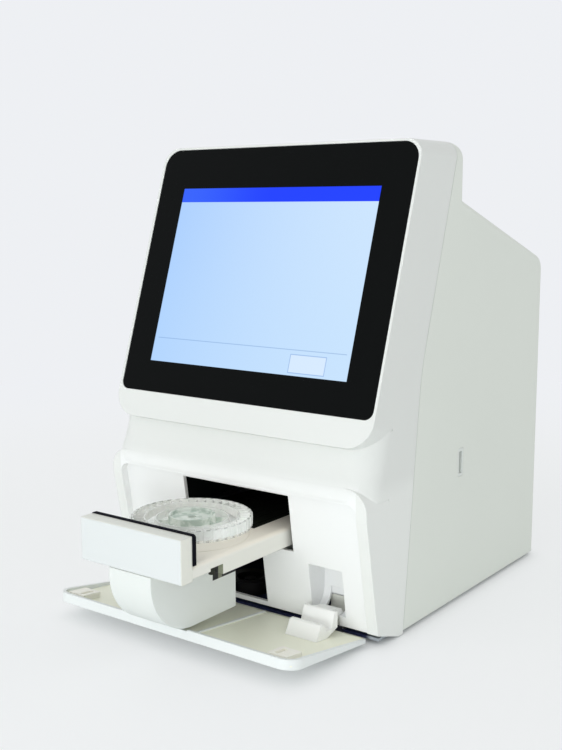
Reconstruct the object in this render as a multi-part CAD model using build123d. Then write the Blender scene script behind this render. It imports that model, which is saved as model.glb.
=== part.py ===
from build123d import *
import math
import os

# A benchtop chemistry analyzer with a leaning touch screen, a disc drawer and a fold-down flap.
# Millimetres. X runs to the right as seen from the front, Y runs to the back, Z runs up.
# The drawing is laid out about the middle of the housing's footprint, at bench height.
# The last lines move everything so that the origin lies on the bench under the middle of the whole,
# with the drawer out.
# The drawer is drawn out and the flap lies open, as the analyzer stands when a disc is loaded.

# Housing
body_width = 211.0
head_top = 311.7
rear_y = 117.8
wall = 3.0
skirt_z = 3.2
head_back_y = -17.0
roof_start_z = head_top - 35.7
roof_fall = 0.328
roof_corner = 12.0
head_corner = 12.0
head_back_corner = 7.0
edge_soft = 5.0

# Seam between front and rear shell, as two leaning lines joined by a wide bend
seam_low = (-85.1, 0.0)
seam_bend = (-66.7, 167.0)
seam_high = (-21.8, head_top)
seam_bend_radius = 150.0
seam_gap = 0.35

# Screen
screen_tilt = 18.1
screen_base_y = -115.0
screen_base_z = 165.5
active_width = 162.0
active_height = 123.6
glass_width = 207.0
glass_below = 21.6
glass_rim = 1.6
glass_thick = 2.0
glass_top_corner = 12.0
glass_low_corner = 6.0
glass_gap = 0.15
lcd_border = 6.0
lcd_thick = 6.5
chin_height = 40.0
chin_corner = 18.0
chin_depth = 22.0
screen_wall = 5.0
chin_room = 140.0

# Waist under the chin and lower front
waist_corner = 17.0
front_foot = (-115.0, 9.2)
front_knee = (-129.4, 85.0)
front_brow = (-130.0, 103.5)
skirt_low = (-90.5, 1.0)
brow_corner = 14.0

# Flap and its recess
flap_half = 97.1
recess_gap = 0.5
recess_top = 93.2
recess_corner = 6.0
recess_face_top = (-125.1, 93.0)
recess_face_foot = (-112.3, 10.5)
hinge_y = -108.4
hinge_z = 8.9
flap_tilt = 6.5
flap_offset = 6.67
flap_near = 5.6
flap_far = 85.2
flap_plate = 2.4
flap_lip = 6.2
flap_lip_wall = 2.2
flap_corner = 10.0
rim_relief = 0.8
rim_relief_half = 18.5
rib_x = 19.5
rib_high = 1.2
tab_x = 83.0
tab_width = 14.0

# Slot, lower opening and arm pockets in the recess face
slot_half = 44.0
slot_low = 52.5
slot_high = 90.5
low_half = 18.3
low_floor = 11.4
pocket_near = 55.0
pocket_far = 80.4
pocket_low = 14.8
pocket_high = 46.3
pocket_depth = 18.8
pocket_wall = 1.6
pocket_slope = 8.7
pocket_slope_high = 12.8

# Hinge arms and pins
arm_width = 23.6
neck_width = 14.0
arm_barrel = 2.3
pin_radius = 1.25
pin_clearance = 0.05
bracket_thick = 2.0
bracket_clearance = 0.4

# Drawer
drawer_travel = 108.0
drawer_half = 40.5
panel_front = -222.0
panel_thick = 10.0
panel_low = 58.7
panel_high = 85.6
seal_thick = 2.6
tray_top = 68.0
tray_bottom = 55.7
tray_front_bottom = 60.3
tray_rear = -32.0
tray_step = -185.0
skirt_back = -196.0
tray_soft = 3.0
nose_half = 17.0
nose_low = 18.2
nose_radius = 36.0
nose_back = -144.5
nose_wall = 2.2

liner_half = 24.0
liner_front = -134.0
liner_rear = -40.0

# Disc, turntable and spindle motor
disc_y = -166.0
disc_radius = 38.0
disc_low = 72.2
disc_thick = 8.9
disc_wells = 32
hub_radius = 11.0
spindle_radius = 2.0
spindle_clearance = 0.05
spindle_motor_radius = 12.5
spindle_motor_long = 24.0

# Drive
pinion_teeth = 18
module_size = 1.0
tooth_back = 0.14
pinion_x = -37.5
pinion_y = -45.0
rack_thick = 2.4
rack_width = 7.0
drive_motor_radius = 12.0
drive_motor_long = 24.0

# Inner frame
deck_top = 53.0
deck_thick = 2.0
base_thick = 1.8
foot_radius = 9.0
rail_gap = 0.15
rail_wall = 2.0
rail_front = -99.0
rail_rear = 84.0
cover_half = 48.5
cover_wall = 2.0
cover_top = 95.0

# Where the frame's origin lies in the drawing
origin_y = -52.0

half = body_width / 2
tilt = math.radians(screen_tilt)
screen_plane = Plane(
    origin=(0, screen_base_y, screen_base_z),
    x_dir=(1, 0, 0),
    z_dir=(0, -math.cos(tilt), math.sin(tilt)),
)
head_rise = (head_top - screen_base_z) / math.cos(tilt)
glass_top = head_rise - glass_rim
base_top = skirt_z + base_thick


def front_point(rise, depth=0.0):
    """A point in the side view, up the screen's slope and in behind it."""
    y = screen_base_y + rise * math.sin(tilt) + depth * math.cos(tilt)
    z = screen_base_z + rise * math.cos(tilt) - depth * math.sin(tilt)
    return (y, z)


def slab(outline, x_from, x_to):
    """A side-view outline drawn in Y and Z, run from one X to another."""
    face = make_face(outline)
    return Plane.YZ.offset(x_from) * extrude(face, amount=x_to - x_from)


def side_polygon(points, x_from, x_to):
    return slab(Polyline(*points, close=True), x_from, x_to)


def block(x_from, x_to, y_from, y_to, z_from, z_to):
    size = (x_to - x_from, y_to - y_from, z_to - z_from)
    middle = ((x_from + x_to) / 2, (y_from + y_to) / 2, (z_from + z_to) / 2)
    return Pos(*middle) * Box(*size)


def post(x, y, z_from, z_to, radius):
    return Pos(x, y, (z_from + z_to) / 2) * Cylinder(radius, z_to - z_from)


def rounded_slab(plane, x_from, x_to, y_from, y_to, low_radius, high_radius, depth):
    """A plate in a plane with its own radius at the low and at the high corners."""
    width = x_to - x_from
    height = y_to - y_from
    outline = Pos((x_from + x_to) / 2, (y_from + y_to) / 2) * Rectangle(width, height)
    corners = outline.vertices().sort_by(Axis.Y)
    if low_radius > 0:
        outline = fillet(corners[:2], low_radius)
        corners = outline.vertices().sort_by(Axis.Y)
    outline = fillet(corners[-2:], high_radius)
    return plane * extrude(outline, amount=depth)


def mirrored(solid):
    return mirror(solid, about=Plane.YZ)


def seam_y(z):
    low, bend, high = seam_low, seam_bend, seam_high
    if z < bend[1]:
        return low[0] + (z - low[1]) * (bend[0] - low[0]) / (bend[1] - low[1])
    return bend[0] + (z - bend[1]) * (high[0] - bend[0]) / (high[1] - bend[1])


def seam_front():
    """Everything in front of the seam, as one tall block."""
    reach = half + 20
    bottom = -20.0
    top = head_top + 20
    seam = FilletPolyline(
        (seam_y(bottom), bottom), seam_bend, (seam_y(top), top), radius=seam_bend_radius
    )
    rest = Polyline((seam_y(top), top), (-400, top), (-400, bottom), (seam_y(bottom), bottom))
    return slab(seam + rest, -reach, reach)


def roof_z(y):
    return roof_start_z - (y - head_back_y) * roof_fall


def arch(shrink=0.0):
    """The front view of the housing, with its two rounded top corners, run from front to back."""
    plane = Plane(origin=(0, 300, 0), x_dir=(1, 0, 0), z_dir=(0, -1, 0))
    side = half - shrink
    radius = head_corner - shrink
    return rounded_slab(plane, -side, side, -30, head_top - shrink, 0, radius, 600)


def lower_front():
    """The lower front with sharp side edges and rounded upper corners."""
    back = seam_low[0] - 6
    profile = [
        front_foot,
        front_knee,
        (front_brow[0], recess_top + 2),
        front_brow,
        (back, front_brow[1]),
        (back, front_foot[1]),
    ]
    body = side_polygon(profile, -half, half)
    plane = Plane(origin=(0, 0, 0), x_dir=(1, 0, 0), z_dir=(0, -1, 0))
    outline = rounded_slab(plane, -half, half, -30, front_brow[1], 0, brow_corner, 300)
    return body & outline


def plan_section(front, back, radius, z):
    """A plan outline at one height, with its two front corners rounded."""
    outline = Pos(0, (front + back) / 2) * Rectangle(body_width, back - front)
    outline = fillet(outline.vertices().sort_by(Axis.Y)[:2], radius)
    return Pos(0, 0, z) * outline


def waist():
    """The hollow and the swell under the chin, which run round both corners."""
    back = seam_low[0] - 6
    brow = front_brow[0]
    low = recess_top + 0.6
    steps = [(0.4, 0.0), (-1.0, 5.0), (0.2, 10.0), (3.0, 16.0), (5.6, 22.0), (7.2, 28.0), (8.6, 34.0), (11.0, 42.0)]
    sections = [plan_section(brow + set_back, back, waist_corner, low + rise) for set_back, rise in steps]
    return loft(sections)


def front_outer():
    """The outside of the front shell, before it is hollowed."""
    top_front = front_point(head_rise)
    chin_stop = front_point(-glass_below)
    core_profile = [
        (skirt_low[0] - 10, front_foot[1]),
        skirt_low,
        (head_back_y, skirt_low[1]),
        (head_back_y, head_top),
        top_front,
        chin_stop,
        front_point(-glass_below, chin_depth),
        (skirt_low[0] - 14, front_brow[1]),
    ]
    core = side_polygon(core_profile, -half, half)
    chin = rounded_slab(
        screen_plane, -half, half, -chin_height, -glass_below + 30, chin_corner, 1.0, -chin_depth
    )
    foot = [
        front_foot,
        (seam_low[0] + 5, front_foot[1]),
        (seam_low[0] + 5, skirt_low[1]),
        skirt_low,
    ]
    skirt = side_polygon(foot, -half, half)
    solid = core + chin + waist() + lower_front() + skirt
    return solid & arch() & seam_front()


def cavity():
    """The room inside both shells."""
    roof_drop = wall / math.cos(math.atan(roof_fall))
    inner_back = head_back_y - wall
    face_wall = wall - 0.2
    points = [
        (recess_face_foot[0] + face_wall, -10),
        (recess_face_foot[0] + face_wall, recess_face_foot[1]),
        (recess_face_top[0] + face_wall, recess_face_top[1]),
        (recess_face_top[0] + face_wall, front_brow[1] + 18),
        front_point(-glass_below - 6, screen_wall + 1.0),
        front_point(-glass_below, screen_wall),
        front_point(head_rise - wall - 1.5, screen_wall),
        (inner_back, head_top - wall),
        (inner_back, roof_z(inner_back) - roof_drop),
        (rear_y - wall, roof_z(rear_y - wall) - roof_drop),
        (rear_y - wall, -10),
    ]
    room = side_polygon(points, -(half - wall), half - wall)
    side = half - waist_corner - wall
    for x_from, x_to in ((side, half), (-half, -side)):
        room -= block(x_from, x_to, -150, front_brow[0] + 2 * waist_corner, front_knee[1], chin_room)
    return room & arch(wall)


def face_line(z):
    """Y of the recess face at a height."""
    low, high = recess_face_foot, recess_face_top
    return low[0] + (z - low[1]) * (high[0] - low[0]) / (high[1] - low[1])


def recess():
    """The shallow seat of the closed flap, open at the bottom."""
    points = [
        (-180, -10),
        (face_line(-10), -10),
        (face_line(recess_top + 4), recess_top + 4),
        (-180, recess_top + 4),
    ]
    room = side_polygon(points, -flap_half - recess_gap, flap_half + recess_gap)
    plane = Plane(origin=(0, 0, 0), x_dir=(1, 0, 0), z_dir=(0, -1, 0))
    reach = flap_half + recess_gap
    outline = rounded_slab(plane, -reach, reach, -30, recess_top, 0, recess_corner, 300)
    return room & outline


def pocket(grow, side):
    """The room that one hinge arm swings in, or the box round it when grown by a wall."""
    mouth = 1.0 if grow > 0 else -3.0
    low = pocket_low - grow
    high = pocket_high + grow
    start = (hinge_y - 1.5, low)
    middle = (hinge_y + pocket_slope * 0.62 + grow * 0.7, low + pocket_slope_high * 0.28)
    end = (hinge_y + pocket_slope + grow, low + pocket_slope_high)
    back = (face_line(high) + pocket_depth + grow, high)
    rest = Polyline(end, back, (face_line(high) + mouth, high), (face_line(low) + mouth, low), start)
    outline = ThreePointArc(start, middle, end) + rest
    room = slab(outline, pocket_near - grow, pocket_far + grow)
    return room if side > 0 else mirrored(room)


def arm_slit(side):
    """The opening in a pocket's floor where the hinge arm reaches down to its pin."""
    middle = (pocket_near + pocket_far) / 2
    reach = neck_width / 2 + bracket_clearance
    rear = hinge_y + pocket_slope + 1.1
    slit = block(middle - reach, middle + reach, hinge_y - 20, rear, -5, pocket_low + pocket_slope_high)
    reach += bracket_thick + 0.2
    front = hinge_y - arm_barrel - 0.4
    slit += block(middle - reach, middle + reach, front, rear, -5, pocket_low - pocket_wall)
    return slit if side > 0 else mirrored(slit)


def front_shell():
    shell = front_outer() - cavity()
    for side in (1, -1):
        shell += pocket(pocket_wall, side) & arch(wall)
    shell -= recess()
    for side in (1, -1):
        shell -= pocket(0, side)
        shell -= arm_slit(side)
    shell -= block(-slot_half, slot_half, -140, -100, slot_low, slot_high)
    shell -= block(-low_half, low_half, -140, -100, low_floor, slot_low + 1)
    pocket_width = glass_width + 2 * glass_gap
    seat = rounded_slab(
        screen_plane,
        -pocket_width / 2, pocket_width / 2,
        -glass_below - glass_gap, glass_top + glass_gap,
        glass_low_corner + glass_gap, glass_top_corner + glass_gap,
        -glass_thick,
    )
    shell -= seat
    window_half = active_width / 2 + lcd_border + glass_gap
    window = rounded_slab(
        screen_plane.offset(1),
        -window_half, window_half,
        -lcd_border - glass_gap, active_height + lcd_border + glass_gap,
        2.0, 2.0,
        -30,
    )
    return shell - window


def rear_outline():
    points = [
        (seam_low[0] - 20, skirt_z),
        (rear_y, skirt_z),
        (rear_y, roof_z(rear_y)),
        (head_back_y, roof_start_z),
        (head_back_y, head_top),
        (seam_high[0] - 30, head_top),
    ]
    return make_face(Polyline(*points, close=True))


def rear_outer():
    face = rear_outline()
    back_corner = face.vertices().sort_by_distance(Vector(rear_y, roof_z(rear_y), 0))[0]
    face = fillet(back_corner, roof_corner)
    head_corner_point = face.vertices().sort_by_distance(Vector(head_back_y, head_top, 0))[0]
    face = fillet(head_corner_point, head_back_corner)
    solid = Plane.YZ.offset(-half) * extrude(face, amount=body_width)
    edges = solid.edges().filter_by(lambda e: abs(abs(e.center().X) - half) < 0.01)
    edges = edges.filter_by(lambda e: e.center().Y > head_back_y + 4 and e.center().Z > skirt_z + 1)
    solid = fillet(edges, edge_soft)
    return (solid & arch()) - Pos(0, seam_gap, 0) * seam_front()


# Rear shell details
vent_count = 9
vent_pitch = 7.0
vent_width = 3.0
vent_long = 46.0
vent_y = 30.0
vent_z = 60.0
fan_x = 48.0
fan_z = 150.0
fan_size = 60.0
fan_deep = 15.0
fan_screw_pitch = 50.0
fan_bore = 27.5
fan_hub = 11.0
fan_clearance = 0.8
fan_blades = 7
inlet_x = -84.0
inlet_z = 40.0
inlet_width = 27.5
inlet_height = 20.0
switch_z = 70.0
switch_width = 19.2
switch_height = 13.0
socket_z = 34.0
usb_width = 13.4
usb_height = 5.6
lan_width = 16.0
lan_height = 13.4
port_y = -10.2
port_z = 98.65
port_width = 7.4
port_height = 19.7
panel_gap = 0.15


def wall_cut(x, z, width, height, radius):
    """A rounded opening through the back wall."""
    plane = Plane(origin=(x, rear_y + 5, z), x_dir=(-1, 0, 0), z_dir=(0, 1, 0))
    return plane * extrude(RectangleRounded(width, height, radius), amount=-20)


def rear_shell():
    shell = rear_outer() - cavity()
    for index in range(vent_count):
        z = vent_z + (index - (vent_count - 1) / 2) * vent_pitch
        cut = Pos(0, vent_y, z) * Box(body_width + 20, vent_long, vent_width)
        shell -= cut & block(-half - 5, -half + wall + 2, -200, 200, 0, 400)
    for step in range(-3, 4):
        reach = math.sqrt(fan_bore ** 2 - (step * 7.4) ** 2)
        shell -= wall_cut(fan_x, fan_z + step * 7.4, 2 * reach, 3.8, 1.8)
    for x in (-1, 1):
        for z in (-1, 1):
            hole = Pos(fan_x + x * fan_screw_pitch / 2, rear_y, fan_z + z * fan_screw_pitch / 2)
            shell -= hole * Rot(90, 0, 0) * Cylinder(screw_radius, 30)
    shell -= wall_cut(inlet_x, inlet_z, inlet_width + 2 * panel_gap, inlet_height + 2 * panel_gap, 2.0)
    shell -= wall_cut(inlet_x, switch_z, switch_width + 2 * panel_gap, switch_height + 2 * panel_gap, 0.8)
    for x in usb_places:
        shell -= wall_cut(x, socket_z, usb_width + 2 * panel_gap, usb_height + 2 * panel_gap, 0.5)
    shell -= wall_cut(lan_x, socket_z, lan_width + 2 * panel_gap, lan_height + 2 * panel_gap, 0.5)
    plane = Plane(origin=(half + 5, port_y, port_z), x_dir=(0, 1, 0), z_dir=(1, 0, 0))
    shell -= plane * extrude(RectangleRounded(port_width, port_height, 1.6), amount=-20)
    for x, z in back_screws():
        shell -= Pos(x, rear_y, z) * Rot(90, 0, 0) * Cylinder(screw_radius, 20)
        shell += boss(x, z)
    return shell


screw_radius = 1.5
screw_head = 2.8
screw_head_high = 1.8
usb_places = (-18.0, 2.0)
lan_x = 24.0
boss_radius = 4.0
boss_long = 8.0


def back_screws():
    reach = half - 14
    return [(-reach, 24), (reach, 24), (-reach, 196), (reach, 196)]


def boss(x, z):
    """A screw boss inside the back wall."""
    ring = Cylinder(boss_radius, boss_long) - Cylinder(screw_radius, boss_long + 1)
    return Pos(x, rear_y - wall - boss_long / 2, z) * Rot(90, 0, 0) * ring


def rear_screws():
    """Screws in the back wall and round the fan, as one group."""
    group = []
    head = Pos(0, 0, screw_head_high / 2) * Cylinder(screw_head, screw_head_high)
    slot = Pos(0, 0, screw_head_high) * (Box(3.2, 0.8, 1.6) + Box(0.8, 3.2, 1.6))
    for x, z in back_screws():
        shank = Pos(0, 0, -5) * Cylinder(screw_radius, 10)
        group.append(Pos(x, rear_y, z) * Rot(-90, 0, 0) * (head + shank - slot))
    for x in (-1, 1):
        for z in (-1, 1):
            shank = Pos(0, 0, -5.5) * Cylinder(screw_radius, 11)
            place = Pos(fan_x + x * fan_screw_pitch / 2, rear_y, fan_z + z * fan_screw_pitch / 2)
            group.append(place * Rot(-90, 0, 0) * (head + shank - slot))
    return Compound(group)


def base_plate():
    """The steel floor that the feet, the deck and the hinge brackets stand on."""
    front = recess_face_foot[0] + wall + 0.1
    side = half - wall - 0.2
    plate = block(-side, side, front, rear_y - wall - 0.2, skirt_z, base_top)
    for row in range(5):
        for column in range(7):
            x = -54 + column * 18
            y = 36 + row * 12
            plate -= Pos(x, y, skirt_z) * Box(11, 3, 10)
    for side in (1, -1):
        middle = side * (pocket_near + pocket_far) / 2
        reach = neck_width / 2 + bracket_clearance
        plate -= block(middle - reach, middle + reach, front - 1, hinge_y + 5.0, 0, 10)
    return plate


foot_inset_x = 26.0
foot_front_y = -66.0
foot_rear_y = 92.0


def feet():
    """Four rubber feet, as one group."""
    group = []
    for x in (-1, 1):
        for y in (foot_front_y, foot_rear_y):
            pad = Cylinder(foot_radius, skirt_z)
            pad = chamfer(pad.edges().group_by(Axis.Z)[0], 0.8)
            group.append(Pos(x * (half - foot_inset_x), y, skirt_z / 2) * pad)
    return Compound(group)


def screen_glass():
    glass = rounded_slab(
        screen_plane,
        -glass_width / 2, glass_width / 2,
        -glass_below, glass_top,
        glass_low_corner, glass_top_corner,
        -glass_thick,
    )
    front_edges = glass.faces().sort_by(Axis.Y)[0].edges()
    return chamfer(front_edges, 0.4)


def lcd_panel():
    """The display module, pressed against the back of the glass."""
    frame = rounded_slab(
        screen_plane.offset(-glass_thick),
        -active_width / 2 - lcd_border, active_width / 2 + lcd_border,
        -lcd_border, active_height + lcd_border,
        1.5, 1.5,
        -lcd_thick,
    )
    return frame


bracket_gap = 1.5
bracket_sheet = 1.5


def display_bracket():
    """A pressed tray that holds the display module against the inside of the front wall."""
    back = -glass_thick - lcd_thick
    reach = half - wall - bracket_gap
    low = -lcd_border - 10
    high = active_height + lcd_border + 10
    wall_face = -screen_wall
    plate = rounded_slab(screen_plane.offset(back), -reach, reach, low, high, 3.0, 3.0, -bracket_sheet)
    plate -= rounded_slab(screen_plane.offset(back + 1), -40, -18, 62, 76, 3.0, 3.0, -10)
    for rise in (12, 112):
        for x in (-70, 70):
            plate -= rounded_slab(screen_plane.offset(back + 1), x - 12, x + 12, rise - 4, rise + 4, 2.0, 2.0, -10)
    for x in (-1, 1):
        for rise in (low + 10, (low + high) / 2, high - 12):
            ear = screen_plane * Pos(x * (reach - 4), rise, (wall_face + back) / 2)
            plate += ear * Box(8, 14, wall_face - back)
    return plate


def display_board():
    """The driver board on the back of the bracket, with its parts."""
    back = -glass_thick - lcd_thick - bracket_sheet
    board = screen_plane * Pos(0, 60, back - 4) * Box(120, 70, 1.6)
    for x in (-54, 54):
        for y in (30, 90):
            board += screen_plane * Pos(x, y, back - 1.6) * Cylinder(2.6, 3.2)
    board += screen_plane * Pos(-20, 60, back - 6) * Box(22, 22, 2.4)
    board += screen_plane * Pos(25, 70, back - 7) * Box(30, 10, 4.4)
    return board


def hinge_arm(side):
    """A gooseneck arm from the flap's inner face over the sill down to its pin, with the flap open."""
    middle = (pocket_near + pocket_far) / 2
    near = middle - arm_width / 2
    lean = math.radians(flap_tilt)
    inner = flap_offset - flap_plate

    def on_plate(along, lift):
        away = inner - lift
        y = hinge_y - along * math.cos(lean) - away * math.sin(lean)
        z = hinge_z + along * math.sin(lean) - away * math.cos(lean)
        return (y, z)

    head_rear = (hinge_y - 12.6, hinge_z + 2.2)
    head_top_rear = (hinge_y - 12.6, hinge_z + 12.6)
    head = [
        on_plate(35.6, 0),
        on_plate(31.4, 9.5),
        on_plate(28.2, 9.5),
        on_plate(25.4, 5.2),
        on_plate(19.4, 5.2),
        on_plate(16.9, 15.4),
        head_top_rear,
        head_rear,
        on_plate(23.9, 0),
    ]
    arm = side_polygon(head, near, near + arm_width)
    arm = fillet(arm.edges().filter_by(Axis.X).sort_by(Axis.Z)[-3:], 1.2)
    neck = [
        (hinge_y - 14.0, hinge_z + 12.6),
        (hinge_y - 1.0, hinge_z + 9.6),
        (hinge_y + arm_barrel, hinge_z + 5.0),
        (hinge_y + arm_barrel, hinge_z),
        (hinge_y - arm_barrel, hinge_z),
        (hinge_y - arm_barrel, hinge_z + 3.6),
        (hinge_y - 14.0, hinge_z + 3.6),
    ]
    arm += side_polygon(neck, middle - neck_width / 2, middle + neck_width / 2)
    place = Pos(middle, hinge_y, hinge_z) * Rot(0, 90, 0)
    arm += place * Cylinder(arm_barrel, neck_width)
    arm -= place * Cylinder(pin_radius + pin_clearance, neck_width + 4)
    return arm if side > 0 else mirrored(arm)


def hinge_pin(side):
    middle = (pocket_near + pocket_far) / 2
    long = neck_width + 2 * (bracket_clearance + bracket_thick)
    pin = Pos(middle, hinge_y, hinge_z) * Rot(0, 90, 0) * Cylinder(pin_radius, long)
    return pin if side > 0 else mirrored(pin)


def hinge_bracket(side):
    """Two standing ears that carry a hinge pin, joined by a foot on the base plate."""
    middle = (pocket_near + pocket_far) / 2
    reach = neck_width / 2 + bracket_clearance
    ear_top = pocket_low - pocket_wall - 0.2
    rear = hinge_y + 16
    outer = reach + bracket_thick
    shape = block(middle - outer, middle + outer, hinge_y + 6, rear, base_top, base_top + 1.5)
    for place in (middle - outer, middle + reach):
        shape += block(place, place + bracket_thick, hinge_y - 0.7, rear, base_top, ear_top)
        shape += Pos(place + bracket_thick / 2, hinge_y, hinge_z) * Rot(0, 90, 0) * Cylinder(arm_barrel, bracket_thick)
    bore = Pos(middle, hinge_y, hinge_z) * Rot(0, 90, 0) * Cylinder(pin_radius, 2 * reach + 20)
    shape -= bore
    return shape if side > 0 else mirrored(shape)


def flap_plane():
    """The flap's own plane: X to the right, Y from the hinge to the free edge, Z up out of its inner face."""
    lean = math.radians(flap_tilt)
    return Plane(
        origin=(0, hinge_y, hinge_z),
        x_dir=(-1, 0, 0),
        z_dir=(0, math.sin(lean), math.cos(lean)),
    )


def flap_door():
    """The flap with its raised rim, guide ribs and two latch tabs, lying open."""
    plane = flap_plane()
    outer = -flap_offset
    inner = outer + flap_plate
    rim = outer + flap_lip
    shell = rounded_slab(
        plane.offset(outer), -flap_half, flap_half, flap_near, flap_far, 2.0, flap_corner, flap_lip
    )
    wall_in = flap_lip_wall
    hollow = rounded_slab(
        plane.offset(inner),
        -flap_half + wall_in, flap_half - wall_in,
        flap_near - 5, flap_far - wall_in,
        0, flap_corner - wall_in, 20,
    )
    shell -= hollow
    slope = math.atan((flap_lip - flap_plate) / (flap_far - flap_near - 12))
    cutter = Pos(0, flap_near, inner) * Rot(math.degrees(slope), 0, 0)
    above = cutter * Pos(0, 60, 20) * Box(2 * flap_half + 10, 220, 40)
    keep = Pos(0, flap_far + 6, 0) * Box(2 * flap_half + 20, 36, 60)
    shell -= plane * (above - keep)
    relief = Pos(0, flap_far, rim) * Box(2 * rim_relief_half, 12.0, 2 * rim_relief)
    shell -= plane * relief
    for side in (1, -1):
        rib = Pos(side * rib_x, (flap_near + flap_far) / 2 - 1, inner + rib_high / 2)
        shell += plane * rib * Box(1.6, flap_far - flap_near - 8, rib_high)
    return shell


def latch_tab(side):
    """A slotted catch plate that stands on the flap near its free edge."""
    plane = flap_plane()
    inner = -flap_offset + flap_plate
    tab = Pos(tab_x, flap_far - 12.0, inner + 1.9) * Box(tab_width, 15.0, 3.8)
    tab -= Pos(tab_x - 2.6, flap_far - 12.0, inner + 3.2) * Box(3.0, 10.0, 2.4)
    shape = plane * tab
    return shape if side < 0 else mirrored(shape)


# Inner pieces
deck_front = -113.0
deck_rear = 90.0
deck_half = 60.0
corridor_half = 18.5
corridor_rear = -28.0
leg_front = -88.0
leg_thick = 2.0
leg_foot = 8.0
cover_rear = 88.0
cover_flange = 6.0
optics_x = 33.0
optics_y = -58.0
board_y = 34.0
board_low = 110.0
supply_wide = half - wall - deck_half - 6.5
supply_x = deck_half + 5 + supply_wide / 2
supply_y = 62.0
speaker_x = -18.0
speaker_y = -85.0
speaker_radius = 16.0
speaker_top = 13.7
switch_swing = 7.0
switch_pivot = rear_y - 0.6


def chassis():
    """The bent steel frame that carries the rails, the drive and the chamber."""
    deck = block(-deck_half, deck_half, deck_front, deck_rear, deck_top - deck_thick, deck_top)
    deck -= block(-corridor_half, corridor_half, deck_front - 1, corridor_rear, deck_top - 5, deck_top + 1)
    deck -= post(pinion_x, pinion_y, 40, 60, 3.2)
    for x, y in cover_screw_places():
        deck -= post(x, y, 40, 60, screw_radius)
    for side in (1, -1):
        near = side * (deck_half - leg_thick)
        far = side * deck_half
        x_from, x_to = min(near, far), max(near, far)
        leg = block(x_from, x_to, leg_front, deck_rear, base_top, deck_top)
        for y in (-62, -14, 34):
            window = Plane(origin=(0, y + 12, 29), x_dir=(0, 1, 0), z_dir=(1, 0, 0))
            leg -= window * (Pos(0, 0, -100) * extrude(RectangleRounded(30, 24, 5), amount=200))
        toe_from, toe_to = min(near, side * (deck_half + leg_foot)), max(near, side * (deck_half + leg_foot))
        leg += block(toe_from, toe_to, leg_front, deck_rear, base_top, base_top + leg_thick)
        deck += leg
    return deck


def rail(side):
    """A channel that the edge of the tray runs in."""
    web = drawer_half + rail_gap
    low = tray_bottom - rail_gap
    high = tray_top + rail_gap
    shape = block(web, web + rail_wall, rail_front, rail_rear, deck_top, high + rail_wall)
    shape += block(web - 4.2, web + rail_wall, rail_front, rail_rear, deck_top, low)
    shape += block(web - 4.7, web + rail_wall, rail_front, rail_rear, high, high + rail_wall)
    for y in (-80, 0, 64):
        shape += block(web + rail_wall, web + rail_wall + 3.6, y - 6, y + 6, deck_top, deck_top + 2)
    if side > 0:
        return shape
    shape = mirrored(shape)
    return shape - post(pinion_x, pinion_y, deck_top - 1, tray_bottom, module_size * (pinion_teeth / 2 + 1) + 0.5)


def cover_side(grow, low, high):
    """The chamber's side outline, leaning at the front against the recess wall."""
    front_gap = wall - 0.2 + 0.1
    rear = cover_rear - cover_wall + grow
    return [
        (face_line(low) + front_gap, low),
        (face_line(high) + front_gap, high),
        (rear, high),
        (rear, low),
    ]


def chamber_cover():
    """The black light-tight box over the drawer's path."""
    outer = cover_half + cover_wall
    shape = side_polygon(cover_side(cover_wall, deck_top, cover_top), -outer, outer)
    room = side_polygon(cover_side(0, deck_top - 5, cover_top - cover_wall), -cover_half, cover_half)
    room += Pos(0, -20, 0) * side_polygon(cover_side(0, deck_top - 5, cover_top - cover_wall), -cover_half, cover_half)
    shape -= room
    for x_from, x_to in ((outer, outer + cover_flange), (-outer - cover_flange, -outer)):
        shape += block(x_from, x_to, -100, cover_rear, deck_top, deck_top + 2)
    shape -= post(optics_x, optics_y, cover_top - 5, cover_top + 5, 6.15)
    for y in (-6, 20, 46):
        shape += block(-outer, outer, y, y + 1.6, cover_top, cover_top + 2.4)
    for x, y in cover_screw_places():
        shape -= post(x, y, deck_top - 1, deck_top + 3, 1.6)
    return shape & block(-100, 100, deck_front - 8, 200, 0, 200) & cavity()


def cover_screw_places():
    reach = cover_half + cover_wall + 3
    return [(side * reach, y) for side in (1, -1) for y in (-80, 0, 78)]


def deck_screws():
    """Screws that hold the chamber cover to the deck, as one group."""
    group = []
    for x, y in cover_screw_places():
        screw = post(0, 0, deck_top + 2, deck_top + 3.8, screw_head)
        screw += post(0, 0, deck_top - deck_thick - 2, deck_top + 2, screw_radius)
        screw -= post(0, 0, deck_top + 3, deck_top + 4, 1.2)
        group.append(Pos(x, y, 0) * screw)
    return Compound(group)


def optics_block():
    """The light source and detector that look down on the disc's wells."""
    shape = block(optics_x - 13, optics_x + 13, optics_y - 26, optics_y + 20, cover_top, cover_top + 22)
    shape = fillet(shape.edges().filter_by(Axis.Z), 3)
    shape += post(optics_x, optics_y, 84.5, cover_top + 1, 6.0)
    shape -= post(optics_x, optics_y, 84, 90, 4.2)
    shape += Pos(optics_x - 13, optics_y - 8, cover_top + 11) * Rot(0, 90, 0) * Cylinder(8, 36)
    for index in range(6):
        x = optics_x - 31 + 3.2 * index
        shape += Pos(x + 3, optics_y - 8, cover_top + 11) * Rot(0, 90, 0) * Cylinder(10.5, 1.4)
    return shape


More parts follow.
